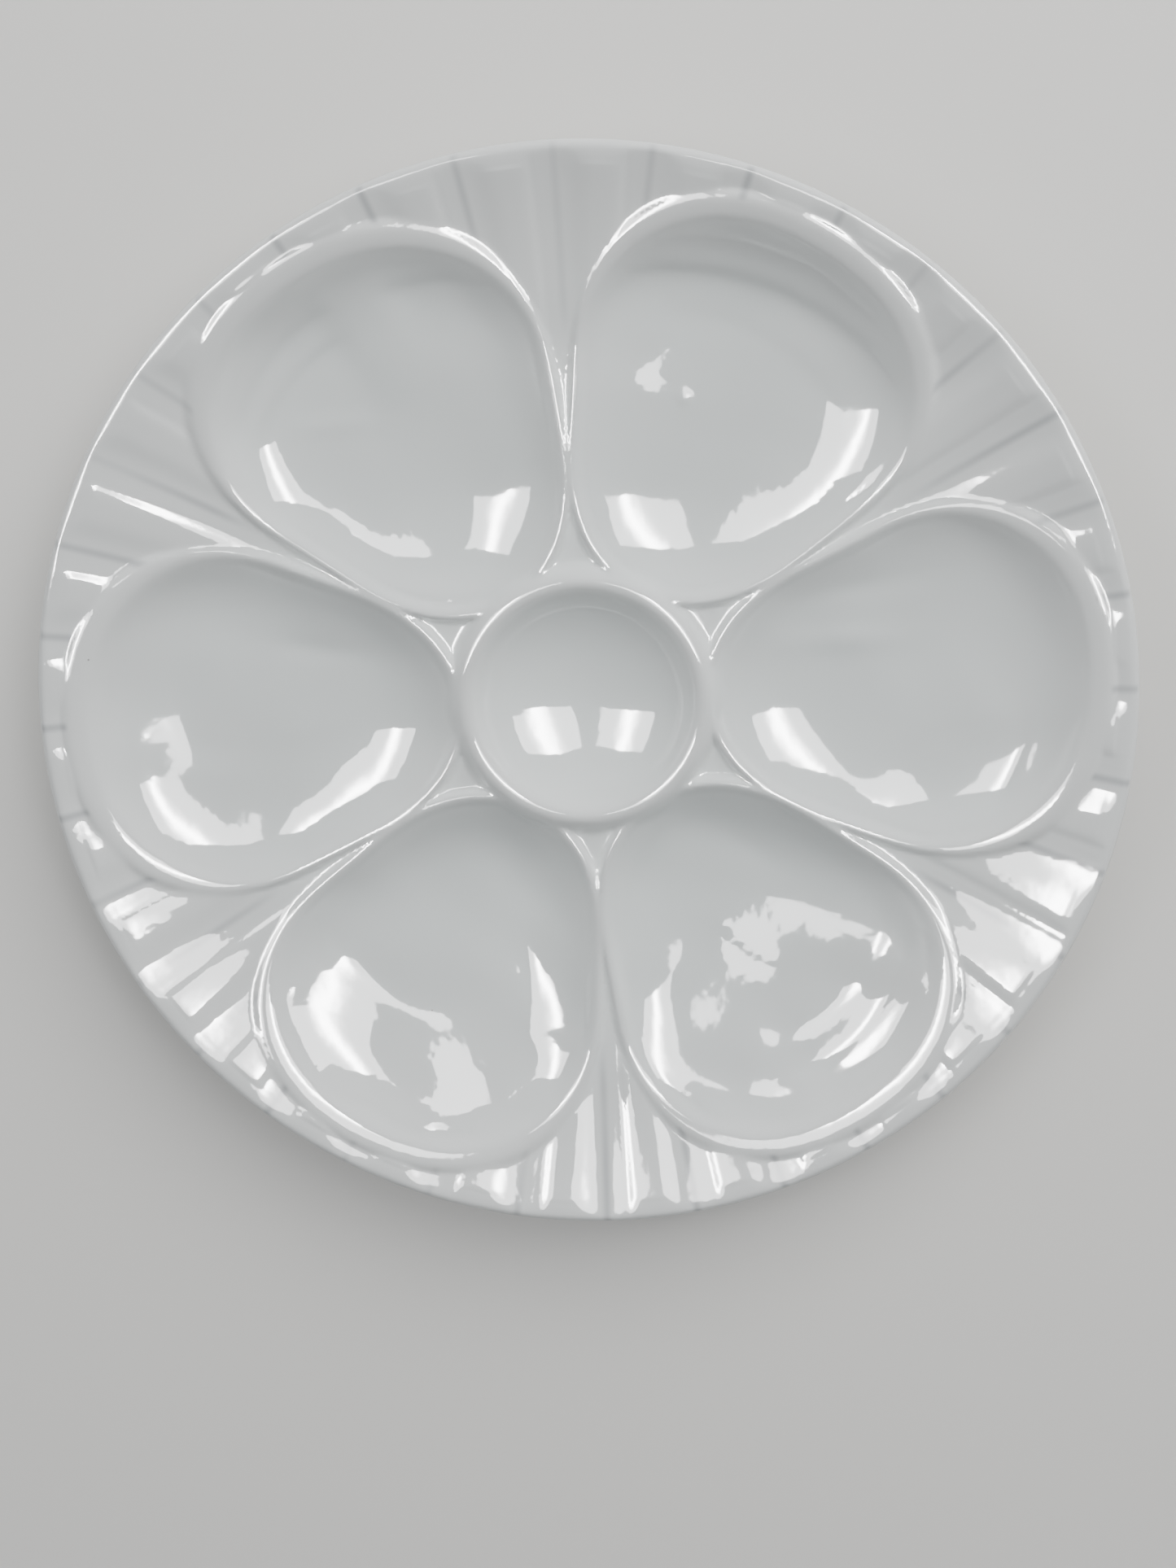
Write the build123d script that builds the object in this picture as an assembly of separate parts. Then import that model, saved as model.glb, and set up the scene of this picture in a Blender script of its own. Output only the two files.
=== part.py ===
from build123d import *
from math import atan2, cos, hypot, pi, radians, sin, tan
import os

# Oyster plate: one piece of glazed porcelain with six shell-shaped wells round a sauce cup.
#
# Millimetres, +Z up. The origin is the centre of the plane that the foot ring stands on, and +X runs
# through the middle of the first well. Heights are above that plane.

# Driving dimensions
PLATE_RADIUS = 120.0
PLATE_HEIGHT = 27.0
WALL = 4.5

# Upper face: a level middle, then a rim that curves up to the lip
LEVEL_RADIUS = 72.0
LEVEL_HEIGHT = 17.0
LIP_ROUNDING = 2.0
LIP_RADIUS = PLATE_RADIUS - LIP_ROUNDING
LIP_CENTRE_HEIGHT = PLATE_HEIGHT - LIP_ROUNDING
RIM_TOP_RADIUS = 116.4
RIM_TOP_HEIGHT = PLATE_HEIGHT - 0.2
RIM_CURVE = (RIM_TOP_HEIGHT - LEVEL_HEIGHT) / (RIM_TOP_RADIUS - LEVEL_RADIUS) ** 2

# Sauce cup: half an ellipsoid with a rounded lip
CUP_RADIUS = 24.6
CUP_DEPTH = 12.0
CUP_LIP_HEIGHT = 19.5
CUP_LIP_ROUNDING = 1.65

# Wells: the outline is a polar curve about a point on the well's middle line
WELL_COUNT = 6
WELL_PITCH = 360 / WELL_COUNT
WELL_CENTRE_RADIUS = 72.0
WELL_MEAN_RADIUS = 39.8
WELL_EGG = 1.7
WELL_LENGTHENING = 3.1
WELL_SQUARENESS = -3.1
WELL_BAND_BROADEST = 4.6
WELL_BAND_NARROWEST = 0.4
WELL_BAND_FADES_BETWEEN = (radians(98.6), radians(36.9))
WELL_FLOOR_HEIGHT = 11.8
WELL_FLOOR_RISE = 0.09
WELL_STEEPNESS = 4.4
WELL_GRID = 33
WELL_HALF_PITCH = WELL_PITCH / 2
WELL_MARGIN = 1.16

# Small hollows where two wells meet the cup
PIT_BALL_RADIUS = 5.0
PIT_PLACE = 33.5
PIT_DEPTH = 2.2

# Flutes: shallow waves that run down the rim, side by side, and fade out where it levels off
FLUTE_COUNT = 36
FLUTE_CREST = radians(5.0)
FLUTE_SWELL = 0.46
FLUTE_INNER_RADIUS = 72.0
FLUTE_FULL_RADIUS = 90.0
FACE_GRID_STEP = 3.0

# Underside, turned smooth, with a foot ring
CUP_BOTTOM_HEIGHT = CUP_LIP_HEIGHT - CUP_DEPTH - WALL
CUP_BOTTOM_RADIUS = 18.0
WELL_BOTTOM_HEIGHT = 7.0
WELL_BOTTOM_INNER_RADIUS = 32.0
WELL_BOTTOM_OUTER_RADIUS = 95.0
FOOT_INNER_RADIUS = 67.0
FOOT_OUTER_RADIUS = 73.0
FOOT_ROUNDING = 1.5
BACK_ROUNDING = 3.0

ABOVE = PLATE_HEIGHT + 15.0


def turned_to(shape, angles):
    """Copies of a shape, each turned about the plate's axis."""
    return [Rot(0, 0, angle) * shape for angle in angles]


def turned_body():
    """A solid of revolution with the plate's turned back and round lip, level on top at full height."""
    back = Polyline(
        (0, PLATE_HEIGHT),
        (0, CUP_BOTTOM_HEIGHT),
        (CUP_BOTTOM_RADIUS, CUP_BOTTOM_HEIGHT),
        (WELL_BOTTOM_INNER_RADIUS, WELL_BOTTOM_HEIGHT),
        (FOOT_INNER_RADIUS, WELL_BOTTOM_HEIGHT),
        (FOOT_INNER_RADIUS, 0),
        (FOOT_OUTER_RADIUS, 0),
        (FOOT_OUTER_RADIUS, WELL_BOTTOM_HEIGHT),
        (WELL_BOTTOM_OUTER_RADIUS, WELL_BOTTOM_HEIGHT),
        (LIP_RADIUS, LIP_CENTRE_HEIGHT - LIP_ROUNDING),
    )
    lip_low = (LIP_RADIUS, LIP_CENTRE_HEIGHT - LIP_ROUNDING)
    lip_top = (LIP_RADIUS, PLATE_HEIGHT)
    lip = ThreePointArc(lip_low, (PLATE_RADIUS, LIP_CENTRE_HEIGHT), lip_top)
    section = make_face(back + lip + Line(lip_top, (0, PLATE_HEIGHT)))
    tread = [corner for corner in section.vertices() if corner.Y < FOOT_ROUNDING]
    section = fillet(tread, FOOT_ROUNDING)
    back_corners = [
        corner
        for corner in section.vertices()
        if BACK_ROUNDING <= corner.Y <= WELL_BOTTOM_HEIGHT and 0 < corner.X < LIP_RADIUS
    ]
    section = fillet(back_corners, BACK_ROUNDING)
    return revolve(Plane.XZ * section, Axis.Z)


def rim_face_height(radius):
    """Height of the upper face without flutes: level, then a parabola up to the lip."""
    return LEVEL_HEIGHT + RIM_CURVE * max(radius - LEVEL_RADIUS, 0) ** 2


def fluted_face_point(x, y):
    """Point of the upper face between the wells. The flutes grow in over a cosine step."""
    radius = hypot(x, y)
    step = min(max((radius - FLUTE_INNER_RADIUS) / (FLUTE_FULL_RADIUS - FLUTE_INNER_RADIUS), 0), 1)
    wave = cos(FLUTE_COUNT * (atan2(y, x) - FLUTE_CREST))
    height = rim_face_height(radius) + FLUTE_SWELL * wave * (1 - cos(pi * step)) / 2
    return Vector(x, y, height)


def below_fluted_face():
    """Everything below the upper face over one sector."""
    half_width = PLATE_RADIUS * sin(radians(WELL_HALF_PITCH)) + 2 * FACE_GRID_STEP
    x_count = round(PLATE_RADIUS / FACE_GRID_STEP) + 4
    y_count = round(2 * half_width / FACE_GRID_STEP) + 1
    xs = [FACE_GRID_STEP * (i - 2) for i in range(x_count)]
    ys = [FACE_GRID_STEP * (i - (y_count - 1) / 2) for i in range(y_count)]
    face = Face.make_surface_from_array_of_points([[fluted_face_point(x, y) for y in ys] for x in xs])
    return Solid.extrude(face, Vector(0, 0, -ABOVE))


def well_outline_radius(angle):
    """Distance from the well's centre to its edge, with angle 0 pointing out to the lip.

    The band that borders the well is broad towards the lip and narrows to a ridge at the sides."""
    egg = WELL_EGG * cos(angle) + WELL_LENGTHENING * cos(2 * angle)
    outline = WELL_MEAN_RADIUS + egg + WELL_SQUARENESS * cos(3 * angle)
    start, full = (cos(bound) for bound in WELL_BAND_FADES_BETWEEN)
    outward = min(max((cos(angle) - start) / (full - start), 0), 1)
    share = outward * outward * (3 - 2 * outward)
    return outline - WELL_BAND_NARROWEST - (WELL_BAND_BROADEST - WELL_BAND_NARROWEST) * share


def well_floor_point(x, y):
    """Point of a bowl that meets the upper face at the well's outline, and climbs straight past it outside."""
    dx = x - WELL_CENTRE_RADIUS
    fraction = hypot(dx, y) / well_outline_radius(atan2(y, dx))
    depth = rim_face_height(hypot(x, y)) - WELL_FLOOR_HEIGHT
    rise = WELL_FLOOR_RISE * dx * (1 - min(fraction, 1) ** 4)
    climb = fraction**WELL_STEEPNESS if fraction < 1 else 1 + WELL_STEEPNESS * (fraction - 1)
    return Vector(x, y, WELL_FLOOR_HEIGHT + rise + depth * climb)


def well():
    """Everything above one well's bowl, as a prism with the bowl for its lower face."""
    x_low = WELL_CENTRE_RADIUS - WELL_MARGIN * well_outline_radius(pi)
    x_high = WELL_CENTRE_RADIUS + WELL_MARGIN * well_outline_radius(0)
    y_high = WELL_MARGIN * well_outline_radius(pi / 2)
    steps = [i / (WELL_GRID - 1) for i in range(WELL_GRID)]
    xs = [x_low + step * (x_high - x_low) for step in steps]
    ys = [(2 * step - 1) * y_high for step in steps]
    bowl = Face.make_surface_from_array_of_points([[well_floor_point(x, y) for y in ys] for x in xs])
    return Solid.extrude(bowl, Vector(0, 0, ABOVE))


def cup_hollow():
    """Lower half of an ellipsoid that hangs from the cup's lip."""
    curve = EllipticalCenterArc((0, CUP_LIP_HEIGHT), CUP_RADIUS, CUP_DEPTH, start_angle=270, arc_size=90)
    closing = Polyline((CUP_RADIUS, CUP_LIP_HEIGHT), (0, CUP_LIP_HEIGHT), (0, CUP_LIP_HEIGHT - CUP_DEPTH))
    return revolve(Plane.XZ * make_face(curve + closing), Axis.Z)


def cup_lip():
    """Rounded bead round the cup's mouth."""
    centre_height = CUP_LIP_HEIGHT - CUP_LIP_ROUNDING
    return Pos(0, 0, centre_height) * Torus(CUP_RADIUS + CUP_LIP_ROUNDING, CUP_LIP_ROUNDING)


def pit():
    """Small hollow between two wells and the cup."""
    return Pos(PIT_PLACE, 0, LEVEL_HEIGHT + PIT_BALL_RADIUS - PIT_DEPTH) * Sphere(PIT_BALL_RADIUS)


def sector():
    """The slice of the plate that holds one well and the rim outside it."""
    side = 2 * PLATE_RADIUS * tan(radians(WELL_HALF_PITCH))
    plan = make_face(Polyline((0, 0), (2 * PLATE_RADIUS, -side), (2 * PLATE_RADIUS, side), close=True))
    wedge = extrude(plan, ABOVE)
    ground = ((turned_body() & wedge) - well()) & below_fluted_face()
    hollowed = ground + (cup_lip() & wedge) - cup_hollow()
    return hollowed - turned_to(pit(), (-WELL_HALF_PITCH, WELL_HALF_PITCH))


def plate():
    """The whole plate, as fired: six like sectors in one solid."""
    sectors = turned_to(sector(), [WELL_PITCH * i for i in range(WELL_COUNT)])
    body = sectors[0]
    for next_sector in sectors[1:]:
        body += next_sector
    return body


os.makedirs("parts", exist_ok=True)
export_step(plate(), "parts/plate.step")
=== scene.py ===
"""Glazed porcelain oyster plate: six shell-shaped wells round a sauce cup, on a pale table.

The plate's surface is worked out with numpy in millimetres, in the CAD frame: +Z up, the origin at the
centre of the plane that the foot ring stands on, +X through the middle of the first well.
"""
import math

import bpy
import numpy as np
from mathutils import Matrix, Vector


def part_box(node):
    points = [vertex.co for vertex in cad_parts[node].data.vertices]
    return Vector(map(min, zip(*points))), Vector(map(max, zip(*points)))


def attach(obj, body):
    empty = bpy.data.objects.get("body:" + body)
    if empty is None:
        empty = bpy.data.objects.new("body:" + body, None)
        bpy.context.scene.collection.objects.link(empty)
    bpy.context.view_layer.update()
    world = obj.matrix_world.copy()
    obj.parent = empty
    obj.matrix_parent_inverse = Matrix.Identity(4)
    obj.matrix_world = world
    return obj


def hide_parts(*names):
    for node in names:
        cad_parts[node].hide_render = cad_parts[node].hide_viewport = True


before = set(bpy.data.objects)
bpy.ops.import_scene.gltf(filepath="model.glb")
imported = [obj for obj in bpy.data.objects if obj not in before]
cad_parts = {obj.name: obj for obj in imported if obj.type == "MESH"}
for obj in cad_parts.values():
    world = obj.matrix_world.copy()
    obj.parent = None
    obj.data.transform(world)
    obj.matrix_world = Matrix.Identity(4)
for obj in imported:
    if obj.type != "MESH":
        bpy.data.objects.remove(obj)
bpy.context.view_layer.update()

MM = 0.001

# ---------------------------------------------------------------- sizes in millimetres
# The plate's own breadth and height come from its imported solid
plate_low, plate_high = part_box("plate")
PLATE_RADIUS = (plate_high[0] - plate_low[0]) / 2 / MM
PLATE_HEIGHT = (plate_high[2] - plate_low[2]) / MM

# Upper face: a level middle, then a rim that curves up to the lip
LEVEL_RADIUS = 72.0
LEVEL_HEIGHT = 17.0
RIM_TOP_RADIUS = 116.4
RIM_TOP_HEIGHT = PLATE_HEIGHT - 0.2
RIM_CURVE = (RIM_TOP_HEIGHT - LEVEL_HEIGHT) / (RIM_TOP_RADIUS - LEVEL_RADIUS) ** 2
RIM_UNEVENNESS = 0.006

# Lip: a cap that falls off inwards as a parabola, then rises, so that the rim passes under it
LIP_ROUNDING = 2.0
LIP_RADIUS = PLATE_RADIUS - LIP_ROUNDING
LIP_TOP_RADIUS = PLATE_RADIUS - 1.0
LIP_FALL = 0.04
LIP_BREADTH = 3.5
LIP_INWARD_RISE = 0.3

# Cup: the hollow, and the ring round its mouth
CUP_RADIUS = 24.6
CUP_DEPTH = 12.0
CUP_BOWL_DEPTH = 7.8
CUP_UNEVENNESS = 0.008
CUP_LIP_HEIGHT = 19.5
CUP_CREST_RADIUS = 26.4
CUP_LIP_FALL = 0.24

# Wells: the outline is the mean radius and a cosine of each multiple of the angle
WELL_COUNT = 6
WELL_PITCH = math.tau / WELL_COUNT
WELL_CENTRE_RADIUS = 72.0
WELL_MEAN_RADIUS = 39.8
WELL_COSINES = (1.7, 3.1, -3.1)
WELL_FLOOR_HEIGHT = 11.8
WELL_EDGE_RISE = 0.6
WELL_STEEPNESS = 4.4

# Bead round each well, broadest at the lip end
BEAD_BROADEST = 4.6
BEAD_NARROWEST = 0.4
BEAD_BROADENS_BETWEEN = (-0.15, 0.8)
BEAD_SHOULDER = 1.3
BEAD_HEIGHT = 1.05
BEAD_ROUNDING = 0.25

# Flutes: swells and hollows in turn down the rim, with a crease on the same flank of every swell
FLUTE_COUNT = 36
FLUTE_CREST = math.radians(3.7)
FLUTE_SWELL = 0.46
FLUTE_OVERTONE = 0.1
FLUTE_SINK = 0.1
FLUTES_GROW_BETWEEN = (70.0, 88.0)
MIDDLE_SINK = 1.2
CREASE_DEPTH = 0.2
CREASE_WIDTH = 0.9

# Underside
WALL = 4.5
CUP_BOTTOM_HEIGHT = CUP_LIP_HEIGHT - CUP_DEPTH - WALL
CUP_BOTTOM_RADIUS = 18.0
WELL_BOTTOM_HEIGHT = 7.0
WELL_BOTTOM_INNER_RADIUS = 32.0
WELL_BOTTOM_OUTER_RADIUS = 95.0
FOOT_INNER_RADIUS = 67.0
FOOT_OUTER_RADIUS = 73.0
FOOT_DRAFT = 0.6
FOOT_TAPER = 0.4

# Mesh: rings of a disc built from six triangular lattices, and steps round the lip
TOP_RINGS = 150
LIP_STEPS = 10


# ---------------------------------------------------------------- small tools on whole arrays
def smoothstep(low, high, value):
    """0 below low, 1 above high, and the cubic 3t^2 - 2t^3 between."""
    t = np.clip((value - low) / (high - low), 0.0, 1.0)
    return t * t * (3.0 - 2.0 * t)


def soft_max(a, b, rounding):
    """The larger of two heights, with the corner where they cross rounded off."""
    return 0.5 * (a + b + np.sqrt((a - b) ** 2 + rounding**2))


def soft_min(a, b, rounding):
    """The smaller of two heights, with the corner where they cross rounded off."""
    return 0.5 * (a + b - np.sqrt((a - b) ** 2 + rounding**2))


def bell(value, width):
    """exp(-(value/width)^2)."""
    return np.exp(-((value / width) ** 2))


def unevenness(x, y, seed, shortest, longest, steepness):
    """Hand-pressed unevenness: fourteen sine waves in random directions, wavelengths spread evenly from
    shortest to longest, each with the same steepest slope."""
    dice = np.random.RandomState(seed)
    total = np.zeros_like(x)
    for wavelength in np.linspace(shortest, longest, 14):
        heading, start = dice.uniform(0.0, math.tau, 2)
        number = math.tau / wavelength
        total += np.sin(number * (x * math.cos(heading) + y * math.sin(heading)) + start) * steepness / number
    return total


# ---------------------------------------------------------------- wells
def well_outline(angle, lean):
    """Distance from the well's centre to its outline: mean + sum of cosine * cos(n a) + lean * sin(n a), for
    n = 1, 2, 3. The lean is what makes a well differ from side to side. Angle 0 points out to the lip."""
    radius = WELL_MEAN_RADIUS
    for order, (even, odd) in enumerate(zip(WELL_COSINES, lean), start=1):
        radius = radius + even * np.cos(order * angle) + odd * np.sin(order * angle)
    return radius


def dish_height(radius):
    """Upper face without wells: level, then a parabola up to the lip."""
    return LEVEL_HEIGHT + RIM_CURVE * np.maximum(radius - LEVEL_RADIUS, 0.0) ** 2


# Every well is modelled on a different shell. All lengths are millimetres; out and side are counted from
# the well's centre, side positive anticlockwise.
# ledge: out at its crown, droop per side squared, side of the crown, first side, last side, step, width
# rise: slope of the floor, up towards the lip; uneven: slope of each wave of its unevenness
# scar: out, side, half length, half width, tilt in degrees, height
WELLS = [
    dict(
        lean=(-0.5, 0.8, 0.2),
        rise=0.1,
        uneven=0.017,
        ledges=[(27.0, 0.010, 0.0, -30.0, -12.0, 0.52, 1.0)],
        scars=[(-14.0, 9.0, 11.0, 3.0, 0.0, 0.45), (-10.0, 21.0, 13.0, 3.5, 8.0, -0.4)],
    ),
    dict(
        lean=(-0.4, 0.5, 0.4),
        rise=0.07,
        uneven=0.016,
        ledges=[(26.5, 0.008, -3.0, -32.0, 33.0, 1.1, 1.3), (17.0, 0.012, 2.0, -22.0, 20.0, 0.38, 2.0)],
        scars=[(-3.5, 9.5, 1.3, 1.3, 0.0, 0.35)],
    ),
    dict(
        lean=(0.1, 0.4, 0.3),
        rise=0.085,
        uneven=0.017,
        ledges=[
            (35.0, 0.014, 3.0, 0.0, 34.0, 0.6, 0.9),
            (30.0, 0.014, 3.0, -2.0, 32.0, 0.6, 0.9),
            (23.0, 0.013, 3.0, 0.0, 30.0, 0.52, 1.1),
            (27.0, 0.012, -4.0, -31.0, -14.0, 0.68, 1.1),
        ],
        scars=[(8.0, 12.0, 9.0, 2.5, 60.0, 0.25)],
    ),
    dict(
        lean=(0.0, 0.0, 0.0),
        rise=0.11,
        uneven=0.019,
        ledges=[(22.0, 0.010, -8.0, -34.0, 10.0, 0.75, 3.0)],
        scars=[(-13.0, -14.0, 10.0, 3.0, -10.0, -0.45), (-8.0, 4.0, 9.0, 4.0, 20.0, 0.25)],
    ),
    dict(
        lean=(0.0, 0.0, 0.0),
        rise=0.2,
        uneven=0.024,
        ledges=[(12.0, 0.012, -5.0, -30.0, 8.0, 0.45, 1.6)],
        scars=[(-22.0, -3.0, 9.0, 4.0, 0.0, 0.35), (-10.0, 16.0, 10.0, 3.0, 25.0, -0.3)],
    ),
    dict(
        lean=(0.0, 0.0, 0.0),
        rise=0.21,
        uneven=0.022,
        ledges=[
            (34.0, 0.014, 0.0, -6.0, 33.0, 0.6, 1.0),
            (28.0, 0.014, 0.0, -12.0, 32.0, 0.68, 1.1),
            (20.0, 0.014, 0.0, -8.0, 30.0, 0.52, 1.3),
        ],
        scars=[(-20.0, 12.0, 11.0, 4.5, 25.0, -0.5)],
    ),
]


def well_coordinates(x, y, index):
    """Place of each point as seen from a well: distance from its centre, and angle from its outward line,
    positive on the side that comes next anticlockwise."""
    turn = index * WELL_PITCH
    out = x * np.cos(turn) + y * np.sin(turn) - WELL_CENTRE_RADIUS
    side = -x * np.sin(turn) + y * np.cos(turn)
    return np.hypot(out, side), np.arctan2(side, out), out, side


def ledge_height(out, side, ledge):
    """A growth step across a shell: it rises by step, as a tanh of the distance past a parabola, and fades
    at both ends."""
    crown, droop, middle, first, last, step, width = ledge
    past = out - crown + droop * (side - middle) ** 2
    present = smoothstep(first - 4.0, first + 5.0, side) * (1.0 - smoothstep(last - 5.0, last + 4.0, side))
    return 0.5 * step * (np.tanh(past / width) - 1.0) * present * bell(np.minimum(past, 0.0), 14.0)


def scar_height(out, side, scar):
    """A long low swelling or dent: height * exp(-(a/length)^2 - (b/width)^2) along its own axes."""
    out_0, side_0, half_length, half_width, tilt, height = scar
    c, s = math.cos(math.radians(tilt)), math.sin(math.radians(tilt))
    along = (out - out_0) * c + (side - side_0) * s
    across = (side - side_0) * c - (out - out_0) * s
    return height * bell(along, half_length) * bell(across, half_width)


def cup_height(radius):
    """Floor + bowl depth * (r/R)^2 + the rest * (r/R)^11: a bowl that turns up into a steep wall."""
    fraction = np.minimum(radius / CUP_RADIUS, 1.4)
    floor = CUP_LIP_HEIGHT - CUP_DEPTH
    return floor + CUP_BOWL_DEPTH * fraction**2 + (CUP_DEPTH - CUP_BOWL_DEPTH) * fraction**11


def fluted_rim(radius, angle):
    """Dish + swell * (cos t - 0.1 cos 3t) * r/R - sink - crease, which grow in over the rim's inner part.
    Further in the dish is sunk, so that only the beads stand at its height.

    t turns once per flute. A crease is depth * exp(-(d/width)^2), where d is the distance from the line at
    which the swell rises fastest."""
    turn = FLUTE_COUNT * (angle - FLUTE_CREST)
    wave = np.cos(turn) - FLUTE_OVERTONE * np.cos(3.0 * turn)
    off_quarter = (turn / math.tau + 0.25) % 1.0 - 0.5
    off_crease = (np.abs(off_quarter) - 0.5) * math.tau / FLUTE_COUNT * radius
    crease = CREASE_DEPTH * bell(off_crease, CREASE_WIDTH)
    grown = smoothstep(*FLUTES_GROW_BETWEEN, radius)
    flutes = FLUTE_SWELL * wave * radius / LIP_RADIUS - FLUTE_SINK - crease
    return dish_height(radius) + flutes * grown - MIDDLE_SINK * (1.0 - grown)


def lip_cap(radius):
    """Highest that the face may reach near the lip: plate height - fall * (distance to the lip's top)^2."""
    to_lip = LIP_TOP_RADIUS - radius
    fall = LIP_FALL * np.minimum(to_lip, LIP_BREADTH) ** 2
    return PLATE_HEIGHT - fall + LIP_INWARD_RISE * np.maximum(to_lip - LIP_BREADTH, 0.0)


def bead_and_bowl(x, y, index):
    """Heights of one well's bead and of its bowl.

    Bead: dish + height * (1 - |d/b|^3), with d the distance from its middle line, which lies inside the
    outline, and b half its breadth and its shoulder.
    Bowl: floor + depth * f^steepness + rise * out * (1 - f^4) + relief, where f is the distance from the
    well's centre over that to the bead's inner edge, so it climbs past the dish outside the well."""
    well = WELLS[index]
    distance, bearing, out, side = well_coordinates(x, y, index)
    dish = dish_height(np.hypot(x, y))
    outline = well_outline(bearing, well["lean"])
    outward = smoothstep(*BEAD_BROADENS_BETWEEN, np.cos(bearing))
    band = BEAD_NARROWEST + (BEAD_BROADEST - BEAD_NARROWEST) * outward
    off_crest = np.abs(distance - outline + band / 2) / (band / 2 + BEAD_SHOULDER)
    bead = dish + BEAD_HEIGHT * (1.0 - np.minimum(off_crest, 4.0) ** 3)

    fraction = np.minimum(distance / (outline - band), 1.5)
    depth = dish + WELL_EDGE_RISE - WELL_FLOOR_HEIGHT
    bowl = WELL_FLOOR_HEIGHT + depth * fraction**WELL_STEEPNESS
    bowl = bowl + well["rise"] * out * (1.0 - np.minimum(fraction, 1.0) ** 4)
    relief = unevenness(out, side, 20 + index, 14.0, 60.0, well["uneven"])
    for ledge in well["ledges"]:
        relief = relief + ledge_height(out, side, ledge)
    for scar in well["scars"]:
        relief = relief + scar_height(out, side, scar)
    return bead, bowl + relief * (1.0 - smoothstep(0.9, 1.02, fraction))


def top_height(x, y):
    """Height of the upper face.

    The beads are laid on the fluted rim by soft_max, then the lip, the wells' bowls and the cup are taken
    out of it by soft_min. The cup's ring is crest height - fall * (distance from the crest)^2."""
    radius = np.hypot(x, y)
    face = fluted_rim(radius, np.arctan2(y, x)) + unevenness(x, y, 11, 25.0, 70.0, RIM_UNEVENNESS)
    wells = [bead_and_bowl(x, y, index) for index in range(WELL_COUNT)]
    for bead, _ in wells:
        face = soft_max(face, bead, BEAD_ROUNDING)
    face = soft_min(face, lip_cap(radius), 0.35)
    for _, bowl in wells:
        face = soft_min(face, bowl, 0.7)
    ring = CUP_LIP_HEIGHT - CUP_LIP_FALL * (radius - CUP_CREST_RADIUS) ** 2
    face = soft_max(face, ring, 0.6)
    cup = cup_height(radius) + unevenness(x, y, 5, 12.0, 40.0, CUP_UNEVENNESS)
    return soft_min(face, cup, 0.5)


# ---------------------------------------------------------------- mesh
def ring_radii():
    """Radii of the disc's rings, closer together at the cup's lip and near the plate's lip."""
    fine = np.linspace(0.0, LIP_RADIUS, 4000)
    spacing = 1.0 - 0.4 * bell(fine - CUP_CREST_RADIUS, 4.0) - 0.5 * smoothstep(110.0, 114.0, fine)
    count = np.concatenate([[0.0], np.cumsum(np.diff(fine) / spacing[1:])])
    return np.interp(np.linspace(0.0, count[-1], TOP_RINGS + 1), count, fine)


def disc_lattice(rings):
    """Points and triangles of a disc whose ring k has 6k points.

    Point j of ring k lies at angle j/(6k) of a turn. Between ring k-1 and ring k, each of the six sectors
    has k triangles standing on the outer ring and k-1 standing on the inner ring."""
    radii = ring_radii()
    ring = np.concatenate([np.full(max(1, 6 * k), k) for k in range(rings + 1)])
    step = np.concatenate([np.arange(max(1, 6 * k)) for k in range(rings + 1)])
    angle = math.tau * step / np.maximum(6 * ring, 1)
    points = np.stack([radii[ring] * np.cos(angle), radii[ring] * np.sin(angle)], axis=1)

    def number(k, j):
        """Running number of point j of ring k, with j wrapped round the ring."""
        first = np.where(k > 0, 1 + 3 * k * (k - 1), 0)
        return first + np.where(k > 0, j % np.maximum(6 * k, 1), 0)

    triangles = []
    for k in range(1, rings + 1):
        sector, j = np.meshgrid(np.arange(6), np.arange(k), indexing="ij")
        outer = sector * k + j
        inner = sector * (k - 1) + j
        k_outer, k_inner = np.full_like(outer, k), np.full_like(outer, k - 1)
        near, far = number(k_outer, outer), number(k_outer, outer + 1)
        triangles.append(np.stack([near, far, number(k_inner, inner)], axis=-1))
        standing_inside = np.stack([number(k_inner, inner), far, number(k_inner, inner + 1)], axis=-1)
        triangles.append(standing_inside[j < k - 1])
    return points, np.concatenate([t.reshape(-1, 3) for t in triangles])


def back_profile():
    """Radius and height along the underside, from below the lip to the middle: straight runs, with a
    rounding for each corner between them."""
    corners = [
        (LIP_RADIUS, PLATE_HEIGHT - 2 * LIP_ROUNDING),
        (WELL_BOTTOM_OUTER_RADIUS, WELL_BOTTOM_HEIGHT),
        (FOOT_OUTER_RADIUS + FOOT_DRAFT, WELL_BOTTOM_HEIGHT),
        (FOOT_OUTER_RADIUS - FOOT_TAPER, 0.0),
        (FOOT_INNER_RADIUS + FOOT_TAPER, 0.0),
        (FOOT_INNER_RADIUS - FOOT_DRAFT, WELL_BOTTOM_HEIGHT),
        (WELL_BOTTOM_INNER_RADIUS, WELL_BOTTOM_HEIGHT),
        (CUP_BOTTOM_RADIUS, CUP_BOTTOM_HEIGHT),
        (0.0, CUP_BOTTOM_HEIGHT),
    ]
    roundings = [0.0, 9.0, 1.8, 1.4, 1.4, 1.8, 6.0, 6.0, 0.0]
    return rounded_polyline(corners, roundings)


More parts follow.
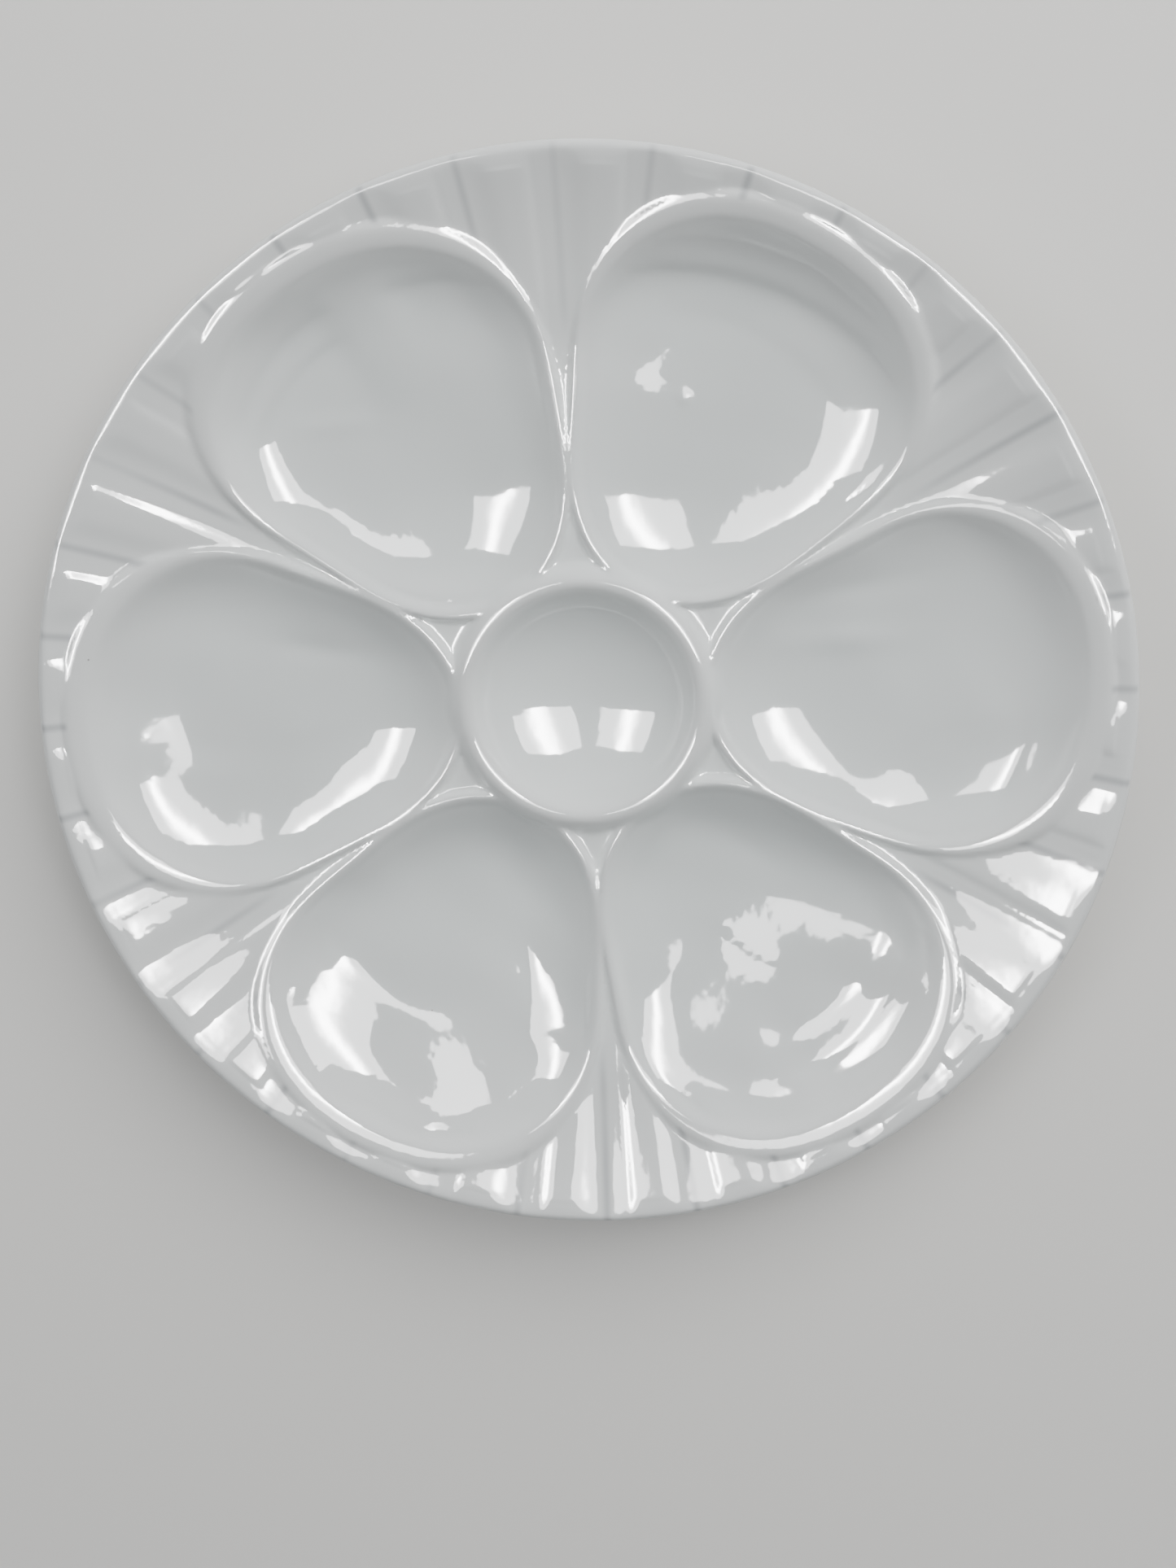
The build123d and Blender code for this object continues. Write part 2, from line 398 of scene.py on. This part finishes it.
def rounded_polyline(corners, roundings, arc_steps=6, longest=4.0):
    """Points along straight runs joined by arcs that touch both runs, with long runs divided."""
    corners = np.array(corners)
    path = [corners[0]]
    for before, corner, after, rounding in zip(corners, corners[1:], corners[2:], roundings[1:]):
        u = (before - corner) / np.linalg.norm(before - corner)
        w = (after - corner) / np.linalg.norm(after - corner)
        half = math.acos(np.clip(u @ w, -1.0, 1.0)) / 2
        reach = rounding / math.tan(half)
        centre = corner + (u + w) / np.linalg.norm(u + w) * rounding / math.sin(half)
        start, end = corner + u * reach - centre, corner + w * reach - centre
        sweep = math.pi - 2 * half
        turn = np.linspace(0.0, 1.0, arc_steps + 1)[:, None]
        arc = (start * np.sin((1 - turn) * sweep) + end * np.sin(turn * sweep)) / math.sin(sweep) + centre
        path.extend(arc)
    path.append(corners[-1])
    dense = [path[0]]
    for start, end in zip(path, path[1:]):
        pieces = max(1, math.ceil(np.linalg.norm(end - start) / longest))
        dense.extend(start + (end - start) * (i + 1) / pieces for i in range(pieces))
    return np.array(dense)


def stitch(outer, inner):
    """Triangles between two rings of as many points."""
    after_outer, after_inner = np.roll(outer, -1), np.roll(inner, -1)
    corners = ((outer, inner, after_inner), (outer, after_inner, after_outer))
    return [np.stack(triangle, axis=1) for triangle in corners]


def stitch_coarser(outer, inner):
    """Triangles between a ring and one with a third of its points."""
    a0, a1, a2, a3 = outer[::3], outer[1::3], outer[2::3], np.roll(outer[::3], -1)
    b0, b1 = inner, np.roll(inner, -1)
    corners = ((a0, b0, a1), (a1, b0, b1), (a1, b1, a2), (a2, b1, a3))
    return [np.stack(triangle, axis=1) for triangle in corners]


def build_plate():
    """The plate as one closed mesh: the disc on top, the lip's half circle, and the turned underside, whose
    rings have a third of the points."""
    flat, triangles = disc_lattice(TOP_RINGS)
    top = np.column_stack([flat, top_height(flat[:, 0], flat[:, 1])])
    previous = np.arange(len(top) - 6 * TOP_RINGS, len(top))
    angle = np.arctan2(top[previous, 1], top[previous, 0])

    sweep = np.radians(np.linspace(90.0, -90.0, LIP_STEPS + 1)[1:])
    lip_radius = LIP_RADIUS + LIP_ROUNDING * np.cos(sweep)
    lip_height = PLATE_HEIGHT - LIP_ROUNDING + LIP_ROUNDING * np.sin(sweep)
    back = back_profile()
    ring_radius = np.concatenate([lip_radius, back[1:-1, 0]])
    ring_height = np.concatenate([lip_height, back[1:-1, 1]])

    points, faces = [top], [triangles]
    total = len(top)
    for level, (radius, height) in enumerate(zip(ring_radius, ring_height)):
        join = stitch
        if level == LIP_STEPS:
            join = stitch_coarser
            angle = angle[::3]
        current = np.arange(total, total + len(angle))
        around = [radius * np.cos(angle), radius * np.sin(angle), np.full(len(angle), height)]
        points.append(np.column_stack(around))
        faces += join(previous, current)
        total += len(angle)
        previous = current
    points.append(np.array([[0.0, 0.0, back[-1, 1]]]))
    faces.append(np.stack([previous, np.full(len(previous), total), np.roll(previous, -1)], axis=1))
    return mesh_object("oyster_plate", np.concatenate(points) * MM, np.concatenate(faces))


def mesh_object(name, points, triangles):
    """A smooth-shaded mesh object from arrays of points and triangles."""
    mesh = bpy.data.meshes.new(name)
    mesh.vertices.add(len(points))
    mesh.vertices.foreach_set("co", points.astype(np.float32).ravel())
    mesh.loops.add(triangles.size)
    mesh.loops.foreach_set("vertex_index", triangles.astype(np.int32).ravel())
    mesh.polygons.add(len(triangles))
    mesh.polygons.foreach_set("loop_start", np.arange(0, triangles.size, 3, dtype=np.int32))
    mesh.polygons.foreach_set("use_smooth", np.ones(len(triangles), dtype=bool))
    mesh.update(calc_edges=True)
    mesh.validate()
    piece = bpy.data.objects.new(name, mesh)
    bpy.context.scene.collection.objects.link(piece)
    return piece


# ---------------------------------------------------------------- materials
class Nodes:
    """Short ways to add and join shader nodes."""

    def __init__(self, tree):
        self.tree = tree

    def feed(self, socket, value):
        """Join a link to a socket, or set the socket to a plain value."""
        if isinstance(value, bpy.types.NodeSocket):
            self.tree.links.new(value, socket)
        else:
            socket.default_value = value

    def add(self, kind, settings=None, **inputs):
        """A node of a kind, with settings on the node itself and inputs by name (underscore for space)."""
        node = self.tree.nodes.new("ShaderNode" + kind)
        for name, value in (settings or {}).items():
            setattr(node, name, value)
        for name, value in inputs.items():
            self.feed(node.inputs[name.replace("_", " ")], value)
        return node

    def maths(self, operation, *values):
        """A Math node's result."""
        node = self.add("Math", dict(operation=operation))
        for place, value in enumerate(values):
            self.feed(node.inputs[place], value)
        return node.outputs[0]

    def product(self, first, *others):
        """Several numbers multiplied."""
        for other in others:
            first = self.maths("MULTIPLY", first, other)
        return first

    def hypotenuse(self, a, b):
        """Square root of a^2 + b^2."""
        squares = self.maths("ADD", self.maths("POWER", a, 2.0), self.maths("POWER", b, 2.0))
        return self.maths("SQRT", squares)

    def ramp(self, value, low, high, first, last):
        """Smoothly from first at low to last at high."""
        settings = dict(interpolation_type="SMOOTHSTEP")
        inputs = dict(Value=value, From_Min=low, From_Max=high, To_Min=first, To_Max=last)
        return self.add("MapRange", settings, **inputs).outputs["Result"]

    def mix(self, factor, first, second):
        """Between two colours."""
        node = self.add("Mix", dict(data_type="RGBA"))
        self.feed(node.inputs[0], factor)
        self.feed(node.inputs[6], first)
        self.feed(node.inputs[7], second)
        return node.outputs[2]


GLAZE = (0.745, 0.762, 0.752, 1.0)
GLAZE_LOWER_DOWN = (0.685, 0.722, 0.712, 1.0)
# Painted shade in the flute hollows, with a little pooled glaze
GLAZE_SHADED_IN_HOLLOWS = (0.505, 0.522, 0.526, 1.0)
BISQUE = (0.70, 0.665, 0.60, 1.0)
SPECK = (0.16, 0.15, 0.13, 1.0)


def outside_wells(tree, radius, angle):
    """0 inside the wells and 1 outside them, from the distance past the outline of the nearest well: its
    mean radius + sum of cosine * cos(n a)."""
    nearest = tree.maths("ROUND", tree.maths("DIVIDE", angle, WELL_PITCH))
    off_well = tree.maths("MULTIPLY_ADD", nearest, -WELL_PITCH, angle)
    from_axis = tree.product(tree.maths("COSINE", off_well), radius)
    out = tree.maths("SUBTRACT", from_axis, WELL_CENTRE_RADIUS * MM)
    side = tree.product(tree.maths("SINE", off_well), radius)
    bearing = tree.maths("ARCTAN2", side, out)
    outline = WELL_MEAN_RADIUS * MM
    for order, amount in enumerate(WELL_COSINES, start=1):
        harmonic = tree.maths("COSINE", tree.maths("MULTIPLY", bearing, float(order)))
        outline = tree.maths("MULTIPLY_ADD", harmonic, amount * MM, outline)
    past_outline = tree.maths("SUBTRACT", tree.hypotenuse(out, side), outline)
    return tree.ramp(past_outline, -0.2 * MM, 1.2 * MM, 0.0, 1.0)


def on_upper_face(tree, radius, height):
    """0 on the underside and 1 on the upper face, from the height above the dish's parabola."""
    past_level = tree.maths("MAXIMUM", tree.maths("SUBTRACT", radius, LEVEL_RADIUS * MM), 0.0)
    square = tree.maths("POWER", past_level, 2.0)
    dish = tree.maths("MULTIPLY_ADD", square, RIM_CURVE / MM, LEVEL_HEIGHT * MM)
    return tree.ramp(tree.maths("SUBTRACT", height, dish), -2.6 * MM, -1.2 * MM, 0.0, 1.0)


def shade_in_hollows(tree, place):
    """Painted shade, with a little pooled glaze, between two flutes: a narrow hump along the bottom of each
    hollow, from where the flutes have grown in, outside the wells, and deeper in some places than in others."""
    x, y, height = (tree.add("SeparateXYZ", Vector=place).outputs[axis] for axis in "XYZ")
    radius = tree.hypotenuse(x, y)
    angle = tree.maths("ARCTAN2", y, x)
    first_hollow = 0.5 - FLUTE_COUNT * FLUTE_CREST / math.tau
    turn = tree.maths("MULTIPLY_ADD", angle, FLUTE_COUNT / math.tau, first_hollow)
    off_hollow = tree.maths("ABSOLUTE", tree.maths("SUBTRACT", turn, tree.maths("ROUND", turn)))
    hump = tree.ramp(tree.product(off_hollow, math.tau / FLUTE_COUNT, radius), 0.0, 1.5 * MM, 1.0, 0.0)
    grown = tree.ramp(radius, 78.0 * MM, 92.0 * MM, 0.0, 1.0)
    patches = tree.add("TexNoise", Vector=place, Scale=22.0, Detail=1.0).outputs["Fac"]
    shade_depth = tree.ramp(patches, 0.35, 0.6, 0.35, 1.0)
    outside = outside_wells(tree, radius, angle)
    return tree.product(hump, outside, on_upper_face(tree, radius, height), grown, shade_depth)


def porcelain():
    """White glaze over porcelain.

    The glaze turns cooler and darker towards the bottom, bears painted shade with a little pooled glaze
    between the flutes, clouds a little, carries a few iron specks, and ripples slightly. The tread of the
    foot ring is bare: warmer and matt."""
    material = bpy.data.materials.new("glazed_porcelain")
    material.use_nodes = True
    tree = Nodes(material.node_tree)
    shader = material.node_tree.nodes["Principled BSDF"]
    place = tree.add("TexCoord").outputs["Object"]
    height = tree.add("SeparateXYZ", Vector=place).outputs["Z"]

    clouds = tree.add("TexNoise", Vector=place, Scale=28.0, Detail=3.0, Roughness=0.55).outputs["Fac"]
    cloudy_height = tree.maths("MULTIPLY_ADD", clouds, -10.0 * MM, height)
    # Darker and cooler towards the bottom, by height, clouded by noise
    colour = tree.mix(tree.ramp(cloudy_height, 2.0 * MM, 19.0 * MM, 1.0, 0.0), GLAZE, GLAZE_LOWER_DOWN)
    # Painted shade, with a little pooled glaze, along the hollows between the flutes
    colour = tree.mix(shade_in_hollows(tree, place), colour, GLAZE_SHADED_IN_HOLLOWS)

    cells = tree.add("TexVoronoi", Vector=place, Scale=75.0)
    chosen = tree.add("SeparateXYZ", Vector=cells.outputs["Color"])
    size = tree.ramp(chosen.outputs["X"], 0.72, 1.0, 0.0, 0.03)
    speck = tree.ramp(tree.maths("SUBTRACT", cells.outputs["Distance"], size), -0.012, 0.0, 0.7, 0.0)
    speck = tree.product(speck, tree.maths("GREATER_THAN", chosen.outputs["X"], 0.8))
    colour = tree.mix(speck, colour, SPECK)

    ragged_height = tree.maths("MULTIPLY_ADD", clouds, 0.6 * MM, height)
    tread = tree.ramp(ragged_height, 0.5 * MM, 0.9 * MM, 1.0, 0.0)
    colour = tree.mix(tread, colour, BISQUE)
    tree.feed(shader.inputs["Base Color"], colour)
    gloss = tree.ramp(clouds, 0.3, 0.7, 0.035, 0.065)
    tree.feed(shader.inputs["Roughness"], tree.maths("MAXIMUM", gloss, tree.product(tread, 0.75)))
    shader.inputs["IOR"].default_value = 1.55

    ripple = tree.add("TexNoise", Vector=place, Scale=150.0, Detail=2.0, Roughness=0.5).outputs["Fac"]
    grain = tree.add("TexNoise", Vector=place, Scale=2500.0, Detail=2.0).outputs["Fac"]
    relief = tree.maths("ADD", ripple, tree.product(grain, tread, 0.6))
    bump = tree.add("Bump", Strength=0.35, Distance=0.25 * MM, Height=relief)
    tree.feed(shader.inputs["Normal"], bump.outputs["Normal"])
    return material


plate = build_plate()
plate.data.materials.append(porcelain())
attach(plate, "root")
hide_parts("plate")


# ---------------------------------------------------------------- stage
def make_floor():
    """Pale table top that the plate stands on."""
    mesh = bpy.data.meshes.new("table_top")
    half = 3.0
    corners = [(-half, -half, 0), (half, -half, 0), (half, half, 0), (-half, half, 0)]
    mesh.from_pydata(corners, [], [(0, 1, 2, 3)])
    table_top = bpy.data.objects.new("table_top", mesh)
    bpy.context.scene.collection.objects.link(table_top)
    material = bpy.data.materials.new("table_top")
    material.use_nodes = True
    shader = material.node_tree.nodes["Principled BSDF"]
    shader.inputs["Base Color"].default_value = (0.62, 0.61, 0.58, 1.0)
    shader.inputs["Roughness"].default_value = 0.8
    mesh.materials.append(material)


def facing(backward, roll=0.0):
    """Turn of a camera or lamp whose back points along backward, with the top of the view along +Y."""
    backward = backward.normalized()
    right = Vector((0.0, 1.0, 0.0)).cross(backward).normalized()
    up = backward.cross(right)
    return Matrix((right, up, backward)).transposed().to_4x4() @ Matrix.Rotation(roll, 4, "Z")


def brighten_middle(light, core):
    """Give a light a brighter upright band in its middle: 1 + core * exp(-(offset/0.12)^2) times the rest,
    with the offset counted in widths of the light."""
    light.use_nodes = True
    tree = Nodes(light.node_tree)
    emission = next(node for node in light.node_tree.nodes if node.type == "EMISSION")
    across = tree.add("SeparateXYZ", Vector=tree.add("NewGeometry").outputs["Parametric"]).outputs["X"]
    offset = tree.maths("ABSOLUTE", tree.maths("MULTIPLY_ADD", across, 1 / 0.12, -0.5 / 0.12))
    hump = tree.maths("EXPONENT", tree.product(tree.maths("POWER", offset, 2.0), -1.0))
    tree.feed(emission.inputs["Strength"], tree.maths("MULTIPLY_ADD", hump, core, 1.0))


def make_light(
    name,
    azimuth,
    elevation,
    wide,
    high,
    radiance,
    distance=1.5,
    roll=0.0,
    core=0.0,
    mirrored=False,
    spread=True,
):
    """A flat soft light aimed at the plate.

    Azimuth runs across the view and elevation towards the top of it, both in degrees from straight above;
    wide and high are the angles that it fills. A mirrored light shows in the glaze; a spread one lights
    it."""
    light = bpy.data.lights.new(name, "AREA")
    light.shape = "RECTANGLE"
    light.size = 2 * distance * math.tan(math.radians(wide) / 2)
    light.size_y = 2 * distance * math.tan(math.radians(high) / 2)
    light.energy = radiance * math.pi * light.size * light.size_y
    if core:
        brighten_middle(light, core)
    lamp = bpy.data.objects.new(name, light)
    across, along = math.tan(math.radians(azimuth)), math.tan(math.radians(elevation))
    direction = Vector((across, along, 1.0)).normalized()
    lamp.matrix_world = Matrix.Translation(direction * distance) @ facing(direction, math.radians(roll))
    lamp.visible_camera = False
    lamp.visible_glossy = mirrored
    lamp.visible_diffuse = spread
    bpy.context.scene.collection.objects.link(lamp)


def make_world(strength):
    """Dim room light, which grows smoothly from 0.45 to 1.25 of its strength towards the top of the view."""
    world = bpy.data.worlds.new("room")
    world.use_nodes = True
    tree = Nodes(world.node_tree)
    background = world.node_tree.nodes["Background"]
    background.inputs["Color"].default_value = (0.95, 0.97, 1.0, 1.0)
    upwards = tree.add("SeparateXYZ", Vector=tree.add("TexCoord").outputs["Generated"]).outputs["Y"]
    lightness = tree.ramp(upwards, -0.7, 0.6, 0.45 * strength, 1.25 * strength)
    tree.feed(background.inputs["Strength"], lightness)
    bpy.context.scene.world = world


def make_camera():
    """Nearly overhead, a little to the right and towards the top of the view."""
    camera = bpy.data.cameras.new("camera")
    camera.lens = 56.05
    camera.sensor_width = 36.0
    camera.clip_start = 0.01
    place = Vector((0.0412, 0.1053, PLATE_HEIGHT * MM + 0.518))
    aim = Vector((0.0003, -0.0167, PLATE_HEIGHT * MM))
    roll = math.radians(-4.25)
    holder = bpy.data.objects.new("camera", camera)
    holder.matrix_world = Matrix.Translation(place) @ facing(place - aim, roll)
    bpy.context.scene.collection.objects.link(holder)
    bpy.context.scene.camera = holder


WINDOW = dict(elevation=12.0, wide=37.0, high=26.0, radiance=25.0, core=7.0, mirrored=True, spread=False)

make_floor()
make_light("window_left", azimuth=-28.0, roll=-8.0, **WINDOW)
make_light("window_right", azimuth=23.5, roll=8.0, **WINDOW)
make_light("soft_box", azimuth=30.0, elevation=42.0, wide=45.0, high=40.0, radiance=5.9, distance=1.0)
make_world(0.52)
make_camera()
